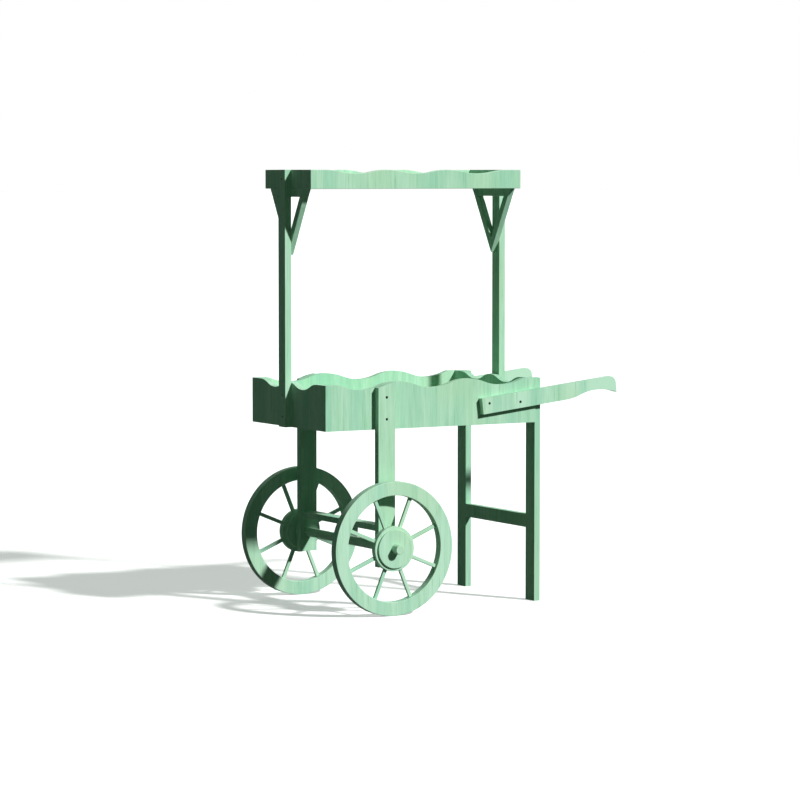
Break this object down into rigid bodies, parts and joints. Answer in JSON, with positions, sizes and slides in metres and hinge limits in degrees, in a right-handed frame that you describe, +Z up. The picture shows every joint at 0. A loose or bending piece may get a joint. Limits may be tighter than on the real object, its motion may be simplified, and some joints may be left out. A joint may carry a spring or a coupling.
{
  "type": "flower cart",
  "caption": "Wheeled wooden display cart with a scalloped tray, a raised shelf on end posts, spoked wheels, stand legs and push handles.",
  "frame": {"origin": "on the floor, below the middle of the overall length and width", "axes": "+X from the wheels' end towards the handles, +Y across the cart, +Z up"},
  "size_m": [1.136, 0.722, 1.438],
  "materials": {
    "painted_board": "mint green stain paint over brushed softwood, satin",
    "painted_slat": "mint green stain paint over sawn softwood, satin",
    "painted_wheel": "mint green stain paint over cut board, satin",
    "painted_dowel": "mint green stain paint over turned dowel, satin",
    "screw_steel": "blackened steel"
  },
  "bodies": {
    "cart": {"brace_left_back": "painted_board", "brace_left_front": "painted_board", "brace_left_top": "painted_board", "brace_right_back": "painted_board", "brace_right_front": "painted_board", "brace_right_top": "painted_board", "handle_back": "painted_board", "handle_front": "painted_board", "handle_screws": "screw_steel", "post_left": "painted_board", "post_right": "painted_board", "post_screws": "screw_steel", "shelf_back_fascia": "painted_board", "shelf_batten_left": "painted_slat", "shelf_batten_middle": "painted_slat", "shelf_batten_right": "painted_slat", "shelf_front_fascia": "painted_board", "shelf_left_fascia": "painted_board", "shelf_right_fascia": "painted_board", "shelf_slat_1": "painted_slat", "shelf_slat_2": "painted_slat", "shelf_slat_3": "painted_slat", "stand_leg_back": "painted_board", "stand_leg_front": "painted_board", "stand_leg_screws": "screw_steel", "stand_leg_stretcher": "painted_board", "tray_back_board": "painted_board", "tray_batten_left": "painted_slat", "tray_batten_middle": "painted_slat", "tray_batten_right": "painted_slat", "tray_front_board": "painted_board", "tray_left_end": "painted_board", "tray_right_end": "painted_board", "tray_slat_1": "painted_slat", "tray_slat_2": "painted_slat", "tray_slat_3": "painted_slat", "tray_slat_4": "painted_slat", "tray_slat_5": "painted_slat", "wheel_leg_back": "painted_board", "wheel_leg_front": "painted_board", "wheel_leg_screws": "screw_steel", "wheel_leg_stretcher": "painted_board"},
    "wheelset": {"axle": "painted_dowel", "wheel_back_cap": "painted_wheel", "wheel_back_hub": "painted_wheel", "wheel_back_inner_cap": "painted_wheel", "wheel_back_rim": "painted_wheel", "wheel_back_spacer": "painted_dowel", "wheel_back_spokes": "painted_wheel", "wheel_front_cap": "painted_wheel", "wheel_front_hub": "painted_wheel", "wheel_front_inner_cap": "painted_wheel", "wheel_front_rim": "painted_wheel", "wheel_front_spacer": "painted_dowel", "wheel_front_spokes": "painted_wheel"}
  },
  "joints": [
    {"name": "axle_spin", "type": "hinge", "parent": "cart", "child": "wheelset", "pos_m": [-0.33202, 0, 0.218], "axis": [0, 1, 0], "continuous": true}
  ]
}
